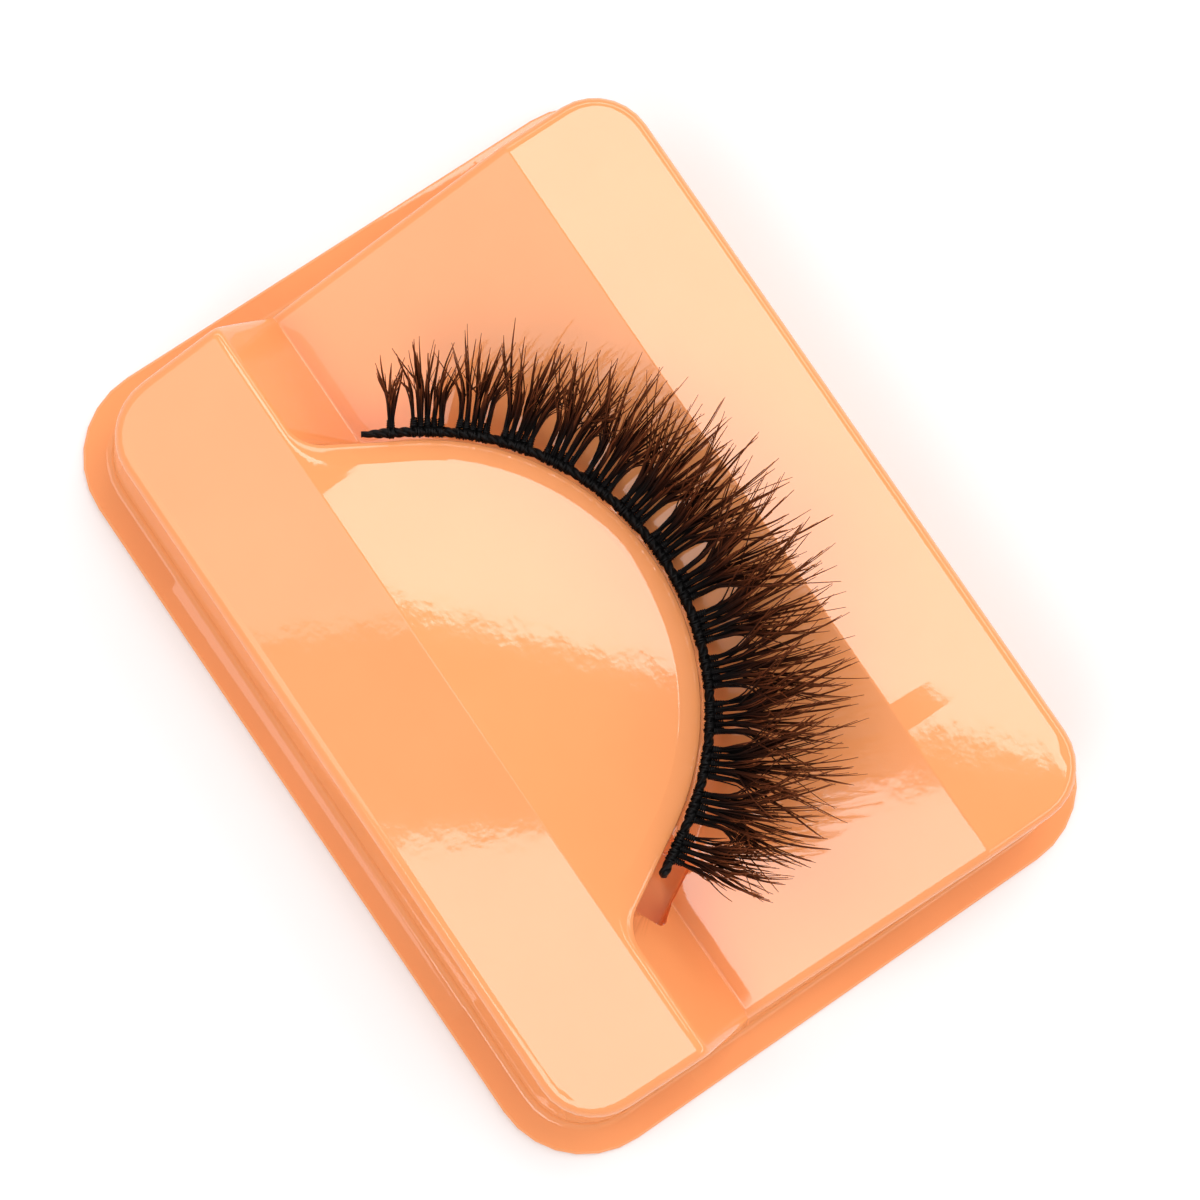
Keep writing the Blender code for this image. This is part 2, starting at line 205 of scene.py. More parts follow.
def placeCamera():
    camera = bpy.data.objects.new("camera", bpy.data.cameras.new("camera"))
    camera.data.lens = view["lens"]
    camera.data.clip_start = 0.01
    camera.data.clip_end = 10
    back = -Vector(view["lookAlong"]).normalized()
    right = Vector(view["pictureRight"])
    right = (right - back * right.dot(back)).normalized()
    turned = Matrix((right, back.cross(right), back)).transposed().to_4x4()
    camera.matrix_world = Matrix.Translation(Vector(view["aim"]) + back * view["distance"]) @ turned
    bpy.context.scene.collection.objects.link(camera)
    bpy.context.scene.camera = camera


placeCamera()
print("camera placed")

# Floor, light and surroundings of the studio
studio = {
    "floorSize": 3.0,
    "floorColour": (0.86, 0.86, 0.87),
    "surroundings": (1.0, 0.99, 0.98),
    "frontStrength": 0.40,
    "backStrength": 0.66,
    "frontToBack": (-0.2, 0.6),
    "bandStrength": 4.0,
    "bandHeights": ((0.40, 0), (0.44, 1), (0.58, 1), (0.62, 0)),
    "bandFade": (-0.35, 0.05),
}

# The softboxes: the first shows on the seat's flat top, the others on the slopes
softboxes = {
    "seat_box": {"place": (0.055, -0.133, 0.36), "turn": 42.8, "size": (0.154, 0.170), "radiance": 5.6},
    "slope_box": {"place": (-0.080, 0.231, 0.30), "turn": 65.8, "size": (0.20, 0.14), "radiance": 4.6},
    "dim_box": {"place": (0.118, 0.193, 0.30), "turn": 65.8, "size": (0.24, 0.18), "radiance": 1.9},
}


def hangSoftbox(name, box):
    # a flat panel of one brightness all over, facing down
    light = bpy.data.lights.new(name, "AREA")
    light.shape = "RECTANGLE"
    light.size, light.size_y = box["size"]
    light.energy = box["radiance"] * math.pi * light.size * light.size_y
    lamp = bpy.data.objects.new(name, light)
    lamp.location = box["place"]
    lamp.rotation_euler = (0, 0, math.radians(box["turn"]))
    bpy.context.scene.collection.objects.link(lamp)


def buildStudio():
    floorFinish, tree, shader = newFinish("pale_floor")
    soft = addNoise(tree, 30.0)
    pale = Vector(studio["floorColour"])
    tree.links.new(addRamp(tree, soft, [(0.3, pale * 0.985), (0.7, pale)]), shader.inputs["Base Color"])
    shader.inputs["Roughness"].default_value = 0.6
    half = studio["floorSize"] / 2
    corners = [(-half, -half, 0), (half, -half, 0), (half, half, 0), (-half, half, 0)]
    floor = meshPiece("floor", corners, [(0, 1, 2, 3)], floorFinish)
    # the surroundings are brighter behind the ridge, and a low bright band in front lights the rim's edge
    world = bpy.data.worlds.new("studio")
    world.use_nodes = True
    tree = world.node_tree
    ground = tree.nodes["Background"]
    ground.inputs["Color"].default_value = (*studio["surroundings"], 1)
    way = tree.nodes.new("ShaderNodeTexCoord")
    parts = tree.nodes.new("ShaderNodeSeparateXYZ")
    tree.links.new(way.outputs["Generated"], parts.inputs["Vector"])
    fromFront = parts.outputs["Y"]
    front, back = studio["frontStrength"], studio["backStrength"]
    strength = addSpan(tree, fromFront, front, back, *studio["frontToBack"])
    stops = [(height, (on, on, on)) for height, on in studio["bandHeights"]]
    glow = addRamp(tree, parts.outputs["Z"], stops)
    inFront = addSpan(tree, fromFront, studio["bandStrength"], 0.0, *studio["bandFade"])
    both = tree.nodes.new("ShaderNodeMath")
    both.operation = "MULTIPLY_ADD"
    tree.links.new(glow, both.inputs[0])
    tree.links.new(inFront, both.inputs[1])
    tree.links.new(strength, both.inputs[2])
    tree.links.new(both.outputs["Value"], ground.inputs["Strength"])
    bpy.context.scene.world = world
    for name, box in softboxes.items():
        hangSoftbox(name, box)
    bpy.context.scene.view_settings.view_transform = "Standard"


buildStudio()
print("studio ready")

# Tray seat: glossy peach sheet, formed over a mould
tray = {
    "width": 42 * mm, "behindRidge": 7.5 * mm, "beforeRidge": 23 * mm, "corner": 3 * mm,
    "sheet": 0.45 * mm, "skirtSpread": 0.3 * mm, "flangeWidth": 1.5 * mm,
    "seatHeight": 8.5 * mm, "shelfDrop": 5.5 * mm, "seatPitch": 17 * mm,
    "ridgeRun": 3 * mm, "ridgeToCentre": 1.95 * mm, "ridgeCorner": 2 * mm, "footCorner": 0.8 * mm,
    "crestRound": 0.5 * mm, "creaseRound": 0.08 * mm, "creaseLand": 0.02 * mm, "rimRound": 0.6 * mm,
    "wallFoot": 0.35 * mm, "ridgeFoot": 0.15 * mm, "footReach": 1.2, "footStart": 0.2, "footCurve": 1.6,
    "draft": math.radians(8), "seatGap": 0.08 * mm,
    "pitWidth": 1.8 * mm, "pitLength": 3.6 * mm, "pitCorner": 0.4 * mm, "pitFloor": 2.8 * mm,
    "pitFromRidge": 1.0 * mm, "pitFillet": 0.35 * mm, "pitLip": 0.22 * mm, "pitSides": 32,
    "rimWide": 1.15 * mm, "rimTall": 0.8 * mm, "flangeEdge": 0.12 * mm, "least": 0.002 * mm,
    "colours": ((0.86, 0.315, 0.112), (0.90, 0.335, 0.124)),
    "roughness": (0.03, 0.06),
    "waviness": 0.005 * mm,
    "ripple": 0.005 * mm,
    "grain": 0.0002 * mm,
    "sharpAbove": 38,
}

# The seat's rim in section, from the flat top to the wall, as shares of its width and height
rimSection = (
    {"out": 0.00, "down": 0.00},
    {"out": 0.06, "down": 0.012},
    {"out": 0.28, "down": 0.070},
    {"out": 0.50, "down": 0.150},
    {"out": 0.68, "down": 0.235},
    {"out": 0.80, "down": 0.300},
    {"out": 0.82, "down": 0.314},
    {"out": 0.94, "down": 0.412},
    {"out": 0.955, "down": 0.430},
    {"out": 0.985, "down": 0.560},
    {"out": 1.00, "down": 1.000},
)

# The pit in section. The floor's rounding is in shares of its fillet, the lip in shares of the lip's size
pitFloorSection = (
    {"out": -0.60, "up": 0.0},
    {"out": -0.18, "up": 0.25},
    {"out": 0.00, "up": 1.0},
)
pitLipSection = (
    {"out": 0.00, "up": -1.0},
    {"out": 0.15, "up": -0.4},
    {"out": 1.00, "up": 0.0},
    {"out": 2.20, "up": 1.0},
)

# How finely the outer face and the hidden inner face are divided
fine = {"arc": 44, "flank": 8, "corner": 8, "ridge": 5, "crest": 10, "foot": 5, "crease": 4,
        "shelf": 9, "sideCorner": 7, "rim": 5}
plain = {"arc": 20, "flank": 4, "corner": 4, "ridge": 3, "crest": 4, "foot": 3, "crease": 2,
         "shelf": 4, "sideCorner": 4, "rim": 3}

trayDepth = tray["behindRidge"] + tray["beforeRidge"]
ridgeY = centreY - tray["ridgeToCentre"]
creaseY = ridgeY + tray["crestRound"] + tray["creaseLand"] + tray["creaseRound"]
shelfSlope = tray["shelfDrop"] / (tray["seatPitch"] - tray["ridgeRun"] - (creaseY - ridgeY))
ridgeSlope = math.atan2(tray["shelfDrop"], tray["ridgeRun"])
wallSlope = math.pi / 2 - tray["draft"]
bandUnder = tray["seatHeight"] - bandLow.z
seatRadius = (strip["bendRadius"] - strip["bandThickness"] / 2 - tray["seatGap"]
              - math.tan(tray["draft"]) * bandUnder)


def shelfLevel(y):
    fall = y - creaseY if y > ridgeY else y - creaseY + tray["seatPitch"]
    rounding = tray["creaseRound"]
    if fall <= -rounding:
        return tray["seatHeight"]
    if fall >= rounding:
        return tray["seatHeight"] - shelfSlope * fall
    return tray["seatHeight"] - shelfSlope * (fall + rounding) ** 2 / (4 * rounding)


def wallRun(turn):
    y = centreY - seatRadius * math.cos(turn)
    return math.tan(tray["draft"]) * (tray["seatHeight"] - shelfLevel(y))


def halfWidth(y):
    corner = tray["corner"] - tray["rimRound"]
    into = max(0.0, abs(y) - (trayDepth / 2 - tray["corner"]))
    return tray["width"] / 2 - tray["corner"] + math.sqrt(max(0.0, corner ** 2 - into ** 2))


def seatLine(ridgeOut, wallOut, corner, steps):
    # half a line round the seat: arc, flank, hollow corner and ridge, to the -X side
    arcTurn = strip["halfAngle"]
    lineY = ridgeY - ridgeOut
    line = []
    for step in range(steps["arc"] + 1):
        turn = arcTurn * step / steps["arc"]
        reach = seatRadius + wallOut(turn)
        line.append(Vector((-reach * math.sin(turn), centreY - reach * math.cos(turn))))
    arcEnd = line[-1]
    onward = onwardAt(arcTurn).to_2d()
    meeting = arcEnd + onward * ((lineY - arcEnd.y) / onward.y)
    setback = corner * math.tan(arcTurn / 2)
    flankEnd = meeting - onward * setback
    line += [arcEnd.lerp(flankEnd, step / steps["flank"]) for step in range(1, steps["flank"] + 1)]
    middle = Vector((meeting.x - setback, lineY - corner))
    for step in range(1, steps["corner"] + 1):
        turn = arcTurn * (1 - step / steps["corner"])
        line.append(middle + Vector((math.sin(turn), math.cos(turn))) * corner)
    side = Vector((-halfWidth(lineY), lineY))
    start = line[-1]
    line += [start.lerp(side, step / steps["ridge"]) for step in range(1, steps["ridge"])]
    return line + [side]


def ridgeShare(station, steps):
    return max(0.0, min(1.0, (station - steps["arc"] - steps["flank"]) / steps["corner"]))


def rimPlace(share):
    # the seat's rim section read at a share of its lines
    place = share * (len(rimSection) - 1)
    below = min(int(place), len(rimSection) - 2)
    first, last = rimSection[below], rimSection[below + 1]
    out = mix(first["out"], last["out"], place - below) - 1
    down = mix(first["down"], last["down"], place - below)
    return out * tray["rimWide"], down * tray["rimTall"]


def crestLine(share, depth, steps):
    radius = tray["crestRound"] - depth
    wallOut, wallDown = rimPlace(share)
    if depth:
        wallOut = radius * math.sin(wallSlope * share) - tray["crestRound"]
        wallDown = tray["crestRound"] - radius * math.cos(wallSlope * share)
    ridgeOut = radius * math.sin(ridgeSlope * share) - tray["crestRound"]
    ridgeDown = tray["crestRound"] - radius * math.cos(ridgeSlope * share)
    line = []
    around = seatLine(ridgeOut, lambda turn: wallOut, tray["ridgeCorner"] - wallOut, steps)
    for station, (x, y) in enumerate(around):
        down = mix(wallDown, ridgeDown, ridgeShare(station, steps))
        line.append(Vector((x, y, tray["seatHeight"] - down)))
    return line


def footLine(share, depth, steps):
    # the hollow rounding where the wall and the ridge meet the shelf
    angle = share * math.pi / 2
    out = tray["footReach"] * (1 - math.cos(angle)) - tray["footStart"]
    rise = (1 - math.sin(angle)) ** tray["footCurve"]
    ridgeOut = tray["ridgeRun"] + tray["ridgeFoot"] * out - depth

    def wallOut(turn):
        return wallRun(turn) + tray["wallFoot"] * out - depth

    line = []
    for station, (x, y) in enumerate(seatLine(ridgeOut, wallOut, tray["footCorner"], steps)):
        rounding = mix(tray["wallFoot"], tray["ridgeFoot"], ridgeShare(station, steps))
        line.append(Vector((x, y, shelfLevel(y) + rounding * rise - depth)))
    return line


def straightLine(beside, y, depth):
    stretch = halfWidth(y) / -beside[-1].x
    return [Vector((point.x * stretch, y, shelfLevel(y) - depth)) for point in beside]


def lineBetween(first, last, share, depth):
    line = []
    for start, end in zip(first, last):
        x, y = start.to_2d().lerp(end.to_2d(), share)
        line.append(Vector((x, y, shelfLevel(y) - depth)))
    return line


def surfaceLines(depth, steps):
    # from the back edge to the front edge
    crest = [crestLine(step / steps["crest"], depth, steps) for step in range(steps["crest"] + 1)]
    foot = [footLine(step / steps["foot"], depth, steps) for step in range(steps["foot"] + 1)]
    corner = tray["corner"] - tray["rimRound"]
    cornerYs = [trayDepth / 2 - tray["corner"] + corner * math.cos(math.pi / 2 * step / steps["sideCorner"])
                for step in range(steps["sideCorner"] + 1)]
    creaseYs = [creaseY + tray["creaseRound"] * (1 - 2 * step / steps["crease"])
                for step in range(steps["crease"] + 1)]
    lines = [straightLine(crest[0], y, depth) for y in cornerYs + creaseYs]
    lines += crest + foot
    front = [straightLine(foot[-1], y - tray["seatPitch"], depth) for y in creaseYs]
    # the shelf's lines lie closer near the ridge's foot
    shares = [(step / steps["shelf"]) ** 1.4 for step in range(1, steps["shelf"])]
    lines += [lineBetween(foot[-1], front[0], share, depth) for share in shares]
    lines += front
    lines += [straightLine(foot[-1], -y, depth) for y in reversed(cornerYs)]
    return lines


def grown(point, out, height):
    cornerX, cornerY = tray["width"] / 2 - tray["corner"], trayDepth / 2 - tray["corner"]
    inner = Vector((max(-cornerX, min(cornerX, point.x)), max(-cornerY, min(cornerY, point.y))))
    away = (point.to_2d() - inner).normalized()
    return Vector((point.x + away.x * out, point.y + away.y * out, height))


def trayBlock(name, depth, ringsBelow, steps, finish=None):
    lines = []
    for half in surfaceLines(depth, steps):
        lines.append([Vector((-point.x, point.y, point.z)) for point in reversed(half[1:])] + half)
    across = len(lines[0])
    points = [point for line in lines for point in line]
    faces = []
    for row in range(len(lines) - 1):
        for column in range(across - 1):
            corner = row * across + column
            faces.append((corner, corner + 1, corner + 1 + across, corner + across))
    last = (len(lines) - 1) * across
    loop = list(range(across)) + [row * across + across - 1 for row in range(1, len(lines))]
    loop += [last + column for column in range(across - 2, -1, -1)]
    loop += [row * across for row in range(len(lines) - 2, 0, -1)]
    outline = [points[place] for place in loop]
    radius = tray["rimRound"] - depth
    rings = []
    for step in range(1, steps["rim"] + 1):
        turn = math.pi / 2 * step / steps["rim"]
        drop = radius * (1 - math.cos(turn))
        rings.append([grown(point, radius * math.sin(turn), point.z - drop) for point in outline])
    rings += [[grown(point, radius + out, height) for point in outline] for out, height in ringsBelow]
    ring = loop
    for added in rings:
        start = len(points)
        points += added
        for place in range(len(loop)):
            beside = (place + 1) % len(loop)
            faces.append((ring[place], ring[beside], start + beside, start + place))
        ring = list(range(start, start + len(loop)))
    faces.append(tuple(ring))
    return meshPiece(name, points, faces, finish)


def pitBlock(name, grow, fillet, lip):
    # the lifting pit's space, drafted, with a rounded floor and a lip that opens out over the shelf
    onward, outward = onwardAt(strip["halfAngle"]), outwardAt(strip["halfAngle"])
    flank = outward * seatRadius + Vector((0, centreY, 0))
    toRidge = (ridgeY - flank.y) / onward.y
    end = flank + onward * (toRidge - tray["pitFromRidge"])
    centre = end - onward * (tray["pitLength"] / 2) + outward * (tray["pitWidth"] / 2)
    floor = tray["pitFloor"] - grow
    sides, points, faces = tray["pitSides"], [], []

    def ring(out, height):
        long, wide = tray["pitLength"] / 2 + grow, tray["pitWidth"] / 2 + grow
        corner = tray["pitCorner"] + grow
        for side in range(sides):
            turn = math.tau * (side + 0.5) / sides
            along = math.copysign(long - corner, math.cos(turn)) + (corner + out) * math.cos(turn)
            aside = math.copysign(wide - corner, math.sin(turn)) + (corner + out) * math.sin(turn)
            if out > 0:
                aside = max(aside, -wide)
            points.append((centre + onward * along + outward * aside).to_2d())
        return [height] * sides

    heights = []
    for part in pitFloorSection:
        heights += ring(fillet * part["out"], floor + fillet * part["up"])
    if lip:
        for part in pitLipSection:
            start = len(points)
            ring(lip * part["out"], 0.0)
            heights += [outerLevel(x, y) + lip * part["up"] for x, y in points[start:]]
    heights += ring(lip * pitLipSection[-1]["out"], tray["seatHeight"] + tray["sheet"])
    points = [Vector((x, y, height)) for (x, y), height in zip(points, heights)]
    count = len(points) // sides
    faces += [tuple(range(sides)), tuple(range((count - 1) * sides, count * sides))]
    for row in range(count - 1):
        for side in range(sides):
            beside = (side + 1) % sides
            here = row * sides
            faces.append((here + side, here + beside, here + sides + beside, here + sides + side))
    return meshPiece(name, points, faces)


def outerLevel(x, y):
    # height of the shelf or of the ridge's slope outside the seat
    onRidge = tray["seatHeight"] - (ridgeY - y) * math.tan(ridgeSlope)
    return max(shelfLevel(y) if y < ridgeY else tray["seatHeight"], min(onRidge, tray["seatHeight"]))


def cutAway(target, cutter):
    cut = target.modifiers.new("cut", "BOOLEAN")
    cut.operation = "DIFFERENCE"
    cut.solver = "EXACT"
    cut.object = cutter


def settle(piece):
    # leaves the piece with the mesh that its modifiers make, without faces of no area
    ready = bpy.context.evaluated_depsgraph_get()
    mesh = bpy.data.meshes.new_from_object(piece.evaluated_get(ready))
    clean = bmesh.new()
    clean.from_mesh(mesh)
    bmesh.ops.remove_doubles(clean, verts=clean.verts, dist=tray["least"])
    bmesh.ops.dissolve_degenerate(clean, edges=clean.edges, dist=tray["least"])
    clean.to_mesh(mesh)
    clean.free()
    piece.modifiers.clear()
    piece.data = mesh


def peachSheet():
    finish, tree, shader = newFinish("peach_sheet")
    cloud = addNoise(tree, 90.0, 4.0, 0.55)
    dark, light = tray["colours"]
    tree.links.new(addRamp(tree, cloud, [(0.35, dark), (0.68, light)]), shader.inputs["Base Color"])
    smear = addNoise(tree, 260.0, 5.0, 0.6, (1.0, 0.35, 1.0))
    tree.links.new(addSpan(tree, smear, *tray["roughness"]), shader.inputs["Roughness"])
    wave = addBump(tree, addNoise(tree, 150.0, 2.0, 0.5), tray["waviness"])
    ripple = addBump(tree, addNoise(tree, 620.0, 3.0, 0.55, (1.0, 1.0, 0.3)), tray["ripple"], wave)
    grain = addBump(tree, addNoise(tree, 4200.0, 2.0), tray["grain"], ripple)
    tree.links.new(grain, shader.inputs["Normal"])
    shader.inputs["IOR"].default_value = 1.55
    return finish


def buildTray():
    finish = peachSheet()
    spread, width, sheet = tray["skirtSpread"], tray["flangeWidth"], tray["sheet"]
    edge = tray["flangeEdge"]
    flange = [(spread * 0.95, sheet + edge * 3), (spread + edge, sheet + edge), (spread + edge * 3, sheet),
              (spread + width - edge, sheet), (spread + width, sheet - edge), (spread + width, 0.0)]
    shell = trayBlock("tray_shell", 0.0, flange, fine, finish)
    hollow = trayBlock("trayHollow", sheet, [(spread, -sheet)], plain)
    pitWall = pitBlock("pitWall", sheet, tray["pitFillet"] + sheet, 0.0)
    pit = pitBlock("pit", 0.0, tray["pitFillet"], tray["pitLip"])
    cutAway(hollow, pitWall)
    cutAway(shell, pit)
    cutAway(shell, hollow)
    settle(shell)
    for cutter in (hollow, pitWall, pit):
        bpy.data.objects.remove(cutter)
    shell.data.shade_smooth()
    shell.data.set_sharp_from_angle(angle=math.radians(tray["sharpAbove"]))
    # the flat faces stay flat in their reflections
    flatten = shell.modifiers.new("flatten", "WEIGHTED_NORMAL")
    flatten.weight = 100
    flatten.keep_sharp = True
    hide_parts("tray_seat")
    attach(shell, "root")
    print("tray formed:", len(shell.data.polygons), "faces")


buildTray()

# Band: three plied threads, black, stiffened with a little glue
band = {
    "plies": 3,
    "plyRadius": 0.155 * mm,
    "plyOut": 0.10 * mm,
    "plyUp": 0.2 * mm,
    "twistLength": 1.5 * mm,
    "tailLength": 1.2 * mm,
    "tailShare": 0.62,
    "endRound": 0.14 * mm,
    "plyTall": 1.25,
    "steps": 330,
    "sides": 8,
    "colours": ((0.002, 0.0018, 0.002), (0.008, 0.007, 0.007)),
    "roughness": (0.32, 0.62),
    "specular": 0.2,
    "fibreDepth": 0.02 * mm,
}


def blackThread():
    finish, tree, shader = newFinish("black_thread")
    fibre = addNoise(tree, 2400.0, 4.0, 0.6, (1.0, 1.0, 3.0))
    dark, worn = band["colours"]
    tree.links.new(addRamp(tree, fibre, [(0.4, dark), (0.75, worn)]), shader.inputs["Base Color"])
    tree.links.new(addSpan(tree, fibre, *band["roughness"]), shader.inputs["Roughness"])
    tree.links.new(addBump(tree, fibre, band["fibreDepth"]), shader.inputs["Normal"])
    shader.inputs["Specular IOR Level"].default_value = band["specular"]
    return finish


def buildBand():
    finish = blackThread()
    points, faces = [], []
    half = strip["length"] / 2
    for ply in range(band["plies"]):
        for step in range(band["steps"] + 1):
            along = mix(-half, half, step / band["steps"])
            fromTail = (along + half) / band["tailLength"]
            fromEnd = (half - along) / band["endRound"]
            share = mix(band["tailShare"], 1.0, ease(fromTail)) * math.sqrt(min(1.0, max(fromEnd, 0.05)))
            twist = math.tau * (along / band["twistLength"] + ply / band["plies"])
            out = band["plyOut"] * math.cos(twist) * share
            rise = band["plyUp"] * math.sin(twist) * share
            turn = heading(along)
            across = outwardAt(turn) * band["plyRadius"] * share
            over = up * band["plyRadius"] * band["plyTall"] * share
            ring = ellipseFrom(points, faces, bandPoint(along, out, bandLevel + rise), across, over,
                               band["sides"], step == 0)
            if step in (0, band["steps"]):
                faces.append(tuple(ring))
    piece = meshPiece("plied_band", points, faces, finish)
    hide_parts("lash_band")
    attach(piece, "root")
    print("band plied")


buildBand()

# Hairs: tufts tied to the band in bundles, curled upwards, crossing the next cluster's towards their tips
hair = {
    "longest": 10.8 * mm,
    "shares": (0.47, 0.52, 0.60, 0.66, 0.71, 0.78, 0.84, 0.88, 0.91, 0.93, 0.94, 0.95, 0.94, 0.88, 0.72),
    "rootRadius": 0.05 * mm,
    "tipRadius": 0.014 * mm,
    "endFan": 0.6,
    "bundleFan": 5.5,
    "loneFullness": 0.35,
    "innerFullness": 0.8,
    "wobble": 5,
    "wobbleRun": 4.5,
    "bundles": 5,
    "bundleWidth": 0.19 * mm,
    "clusterWidth": 1.50 * mm,
    "loneWidth": 0.26 * mm,
    "steps": 11,
    "sides": 5,
    "straightFor": 1.5 * mm,
    "spreadOver": 1.7 * mm,
    "seed": 41,
    # colours from root to tip: black, dark brown, then a lighter reddish brown painted at the tips for the
    # light shining through them
    "colours": ((0.003, 0.002, 0.002), (0.040, 0.010, 0.0045), (0.24, 0.065, 0.022)),
    "colourPlaces": (0.20, 0.50, 1.0),
    "roughness": (0.38, 0.60),
    "specular": 0.14,
}

# The kinds of tuft in a cluster. Lengths are shares of the cluster's own, angles are degrees:
# the rise at the root and at the tip, and the fan to each side at the tip; a crossing tuft fans that far
tuftKinds = (
    {"tufts": 15, "hairs": 3, "length": (0.84, 1.02), "root": (18, 28), "tip": (66, 84), "fan": 30},
    {"tufts": 11, "hairs": 3, "length": (0.58, 0.84), "root": (22, 38), "tip": (66, 90), "fan": 33},
    {"tufts": 8, "hairs": 3, "length": (0.34, 0.56), "root": (22, 44), "tip": (60, 90), "fan": 22},
    {"tufts": 2, "hairs": 2, "length": (0.50, 0.68), "root": (20, 34), "tip": (52, 70), "crossing": 72},
    {"tufts": 34, "hairs": 1, "length": (0.50, 1.04), "root": (15, 45), "tip": (60, 96), "fan": 46},
)


def lashHair():
    finish, tree, shader = newFinish("black_hair_painted_tip_light")
    share = tree.nodes.new("ShaderNodeAttribute")
    share.attribute_name = "fromRoot"
    # black to dark brown along the hair, with painted light: the tips lighter reddish brown where light
    # shines through them
    stops = list(zip(hair["colourPlaces"], hair["colours"]))
    tree.links.new(addRamp(tree, share.outputs["Fac"], stops), shader.inputs["Base Color"])
    gloss = addNoise(tree, 900.0, 2.0)
    tree.links.new(addSpan(tree, gloss, *hair["roughness"]), shader.inputs["Roughness"])
    shader.inputs["Specular IOR Level"].default_value = hair["specular"]
    return finish


def bundleSide(bundle):
    return 2 * bundle / (hair["bundles"] - 1) - 1


def tuftGuide(length, rootRise, tipRise, fanStart, fanTurn, wobble, turn):
    # the tuft's middle line from its root: place, heading and rise at each step
    outward, onward = outwardAt(turn), onwardAt(turn)
    guide = []
    place = Vector((0, 0, 0))
    pace = length / hair["steps"]
    for step in range(hair["steps"] + 1):
        share = step / hair["steps"]
        bend = ease((length * share - hair["straightFor"]) / hair["spreadOver"])
        fan = fanStart + fanTurn * bend + wobble * math.sin(share * hair["wobbleRun"])
        rise = mix(rootRise, tipRise, share ** 0.9)
        ahead = outward * math.cos(fan) + onward * math.sin(fan)
        if step:
            place = place + (ahead * math.cos(rise) + up * math.sin(rise)) * pace
        guide.append((place, ahead, rise))
    return guide


def growHair(points, faces, shares, root, guide, reach, thick):
    # the hairs of a tuft start side by side and meet at its tip
    for step, (place, ahead, rise) in enumerate(guide):
        share = step / hair["steps"]
        radius = mix(hair["rootRadius"], hair["tipRadius"], share ** 1.4) * thick
        across = ahead.cross(up) * radius
        over = (up * math.cos(rise) - ahead * math.sin(rise)) * radius
        centre = root["middle"] + place * reach + root["aside"] * (1 - share) ** 0.7
        ring = ellipseFrom(points, faces, centre, across, over, hair["sides"], step == 0)
        shares += [share] * hair["sides"]
        if step in (0, hair["steps"]):
            faces.append(tuple(ring))


def growTuft(points, faces, shares, number, kind, place, dice):
    along = clusterAlong(number)
    turn = heading(along)
    lean = leanAt(number)
    width = hair["loneWidth"] if number == 1 else hair["clusterWidth"]
    toSide = max(-1.0, min(1.0, place + dice.uniform(-0.35, 0.35)))
    side = bundleSide(round((toSide + 1) / 2 * (hair["bundles"] - 1)))
    middle = bandPoint(along, strip["bandThickness"] / 2 + dice.uniform(-0.05, 0.1) * mm,
                       bandLevel + dice.uniform(-0.2, 0.2) * mm)
    middle = middle + onwardAt(turn) * side * (width - hair["bundleWidth"]) / 2
    length = hair["longest"] * hair["shares"][number - 1] * dice.uniform(*kind["length"])
    widest = kind.get("crossing") or kind["fan"]
    fan = place * widest + dice.gauss(0, 0.22 * widest)
    if number == strip["clusters"]:
        fan *= hair["endFan"]
    if "crossing" in kind:
        fan = math.copysign(widest * dice.uniform(0.8, 1.0), dice.uniform(-1, 1))
    rootRise = math.radians(dice.uniform(*kind["root"]))
    tipRise = math.radians(dice.uniform(*kind["tip"]))
    fanStart = lean + math.radians(side * hair["bundleFan"] + dice.gauss(0, 1.0))
    wobble = math.radians(dice.gauss(0, hair["wobble"]))
    guide = tuftGuide(length, rootRise, tipRise, fanStart, math.radians(fan), wobble, turn)
    for single in range(kind["hairs"]):
        aside = onwardAt(turn) * dice.uniform(-0.5, 0.5) * hair["bundleWidth"]
        aside = aside + up * dice.uniform(-0.5, 0.5) * hair["bundleWidth"]
        growHair(points, faces, shares, {"middle": middle, "aside": aside}, guide,
                 dice.uniform(0.86, 1.0), dice.uniform(0.8, 1.1))


def growCluster(number, finish):
    dice = random.Random(hair["seed"] + number)
    # the inner clusters are a little thinner, and the lone tuft the thinnest
    fullness = mix(hair["innerFullness"], 1.0, ease((number - 2) / 5))
    if number == 1:
        fullness = hair["loneFullness"]
    points, faces, shares = [], [], []
    for kind in tuftKinds:
        count = max(1, round(kind["tufts"] * fullness))
        for tuft in range(count):
            place = 2 * (tuft + 0.5) / count - 1
            growTuft(points, faces, shares, number, kind, place, dice)
    piece = meshPiece(f"hair_tufts_{number:02d}", points, faces, finish, 80)
    noted = piece.data.attributes.new("fromRoot", "FLOAT", "POINT")
    noted.data.foreach_set("value", shares)
    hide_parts(f"hair_cluster_{number:02d}")
    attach(piece, "root")


hairFinish = lashHair()
for number in range(1, strip["clusters"] + 1):
    growCluster(number, hairFinish)
print("hairs grown")

# Knots: loops round the band at each bundle, and turns of thread round the bundle's root
knot = {
    "loops": 2,
    "loopPitch": 0.11 * mm,
    "loopOut": 0.255 * mm,
    "loopUp": 0.36 * mm,
    "loopSegments": 16,
    "thick": 0.05 * mm,
    "turns": 4,
    "turnsFrom": 0.20 * mm,
    "turnsTo": 0.62 * mm,
    "turnAcross": 0.155 * mm,
    "turnUp": 0.24 * mm,
    "turnSegments": 12,
    "sides": 5,
    "tilt": 9,
    "rise": 20,
    "taper": 0.22,
    "seed": 7,
}


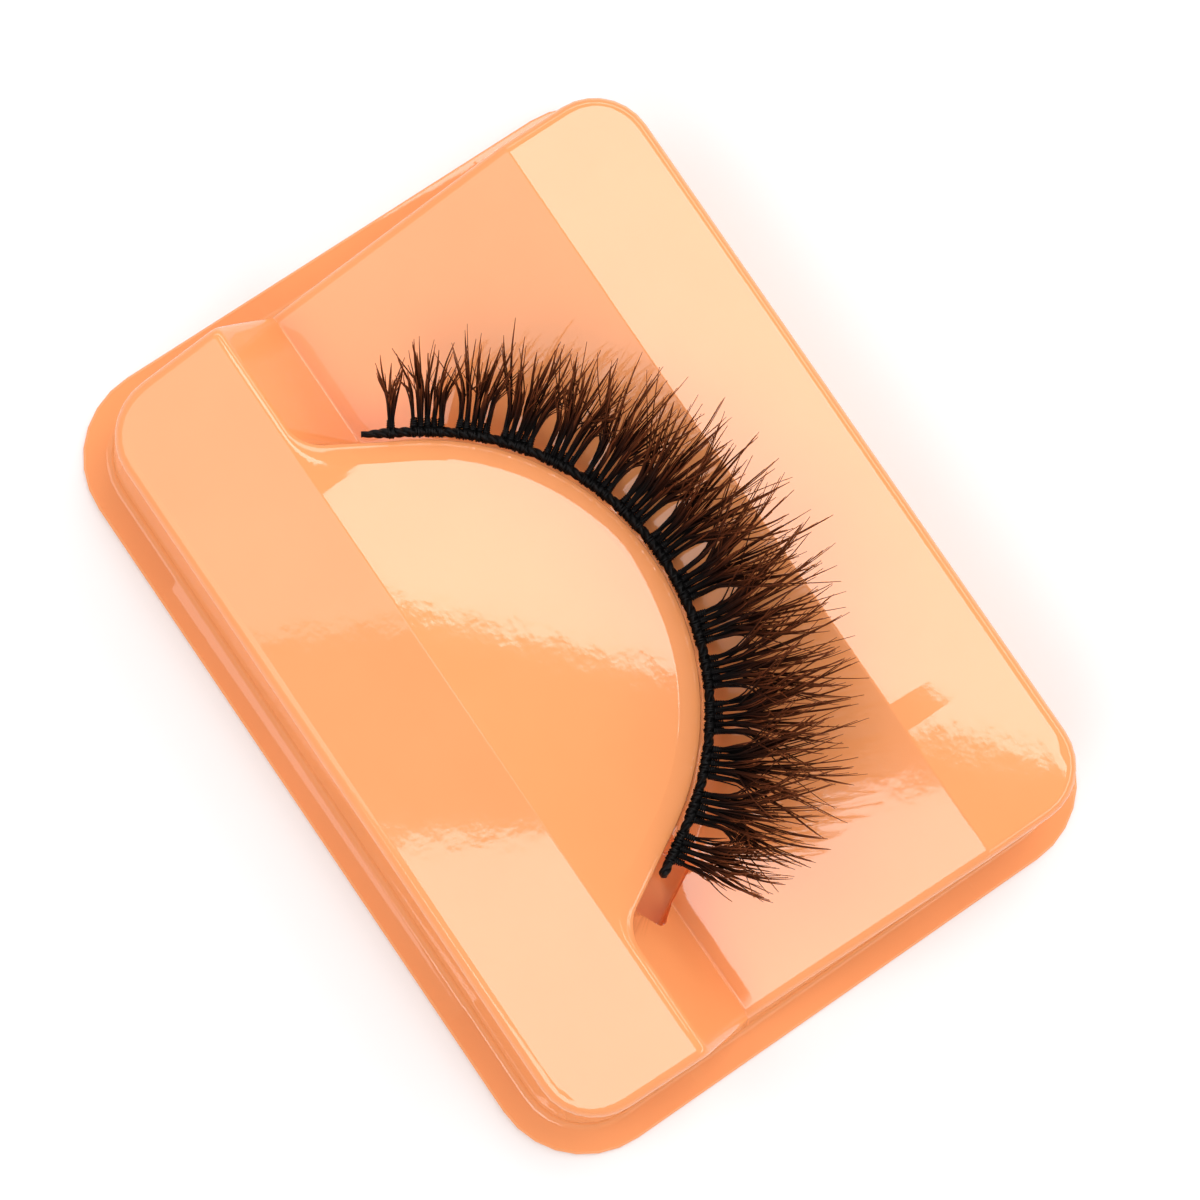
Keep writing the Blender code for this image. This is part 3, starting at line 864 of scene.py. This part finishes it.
def tieLoop(points, faces, along, dice):
    # one closed loop round the band
    turn = heading(along)
    tilt = math.tan(math.radians(dice.gauss(0, knot["tilt"])))
    size = dice.uniform(0.92, 1.06)
    start = len(points)
    for segment in range(knot["loopSegments"]):
        angle = math.tau * segment / knot["loopSegments"]
        away = outwardAt(turn) * math.cos(angle) * knot["loopOut"] * size
        away += up * math.sin(angle) * knot["loopUp"] * size
        slant = onwardAt(turn) * math.sin(angle) * tilt * knot["loopUp"]
        centre = bandPoint(along, 0, bandLevel) + away + slant
        across, over = away.normalized() * knot["thick"], onwardAt(turn) * knot["thick"]
        ellipseFrom(points, faces, centre, across, over, knot["sides"], segment == 0)
    last = len(points) - knot["sides"]
    for side in range(knot["sides"]):
        beside = (side + 1) % knot["sides"]
        faces.append((last + side, last + beside, start + beside, start + side))


def windBundle(points, faces, along, aside, lean, dice):
    # turns of thread round one bundle's root, slanting as the hairs rise
    turn = heading(along)
    outward = outwardAt(turn) * math.cos(lean) + onwardAt(turn) * math.sin(lean)
    onward = outward.cross(up) * -1
    count = knot["turns"] * knot["turnSegments"]
    begin = dice.uniform(0, math.tau)
    size = dice.uniform(0.9, 1.1)
    for segment in range(count + 1):
        share = segment / count
        angle = begin + math.tau * knot["turns"] * share
        out = mix(knot["turnsFrom"], knot["turnsTo"], share)
        taper = size * (1 - knot["taper"] * share)
        away = onward * math.cos(angle) * knot["turnAcross"] * taper
        away += up * math.sin(angle) * knot["turnUp"] * taper
        rise = math.tan(math.radians(knot["rise"])) * (out - knot["turnsFrom"])
        centre = bandPoint(along, 0, bandLevel + rise) + outward * out + onwardAt(turn) * aside + away
        across, over = away.normalized() * knot["thick"], outward * knot["thick"]
        ring = ellipseFrom(points, faces, centre, across, over, knot["sides"], segment == 0)
        if segment in (0, count):
            faces.append(tuple(ring))


def tieKnots(finish):
    dice = random.Random(knot["seed"])
    points, faces = [], []
    for number in range(1, strip["clusters"] + 1):
        width = hair["loneWidth"] if number == 1 else hair["clusterWidth"]
        for bundle in range(hair["bundles"] if number > 1 else 2):
            side = bundleSide(bundle) if number > 1 else 2 * bundle - 1
            aside = side * (width - hair["bundleWidth"]) / 2
            for loop in range(knot["loops"]):
                beside = aside + (loop - 0.5) * knot["loopPitch"]
                tieLoop(points, faces, clusterAlong(number) + beside, dice)
            windBundle(points, faces, clusterAlong(number), aside, leanAt(number), dice)
    piece = meshPiece("knot_loops", points, faces, finish, 80)
    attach(piece, "root")
    print("knots tied:", len(faces), "faces")


tieKnots(bpy.data.materials["black_thread"])
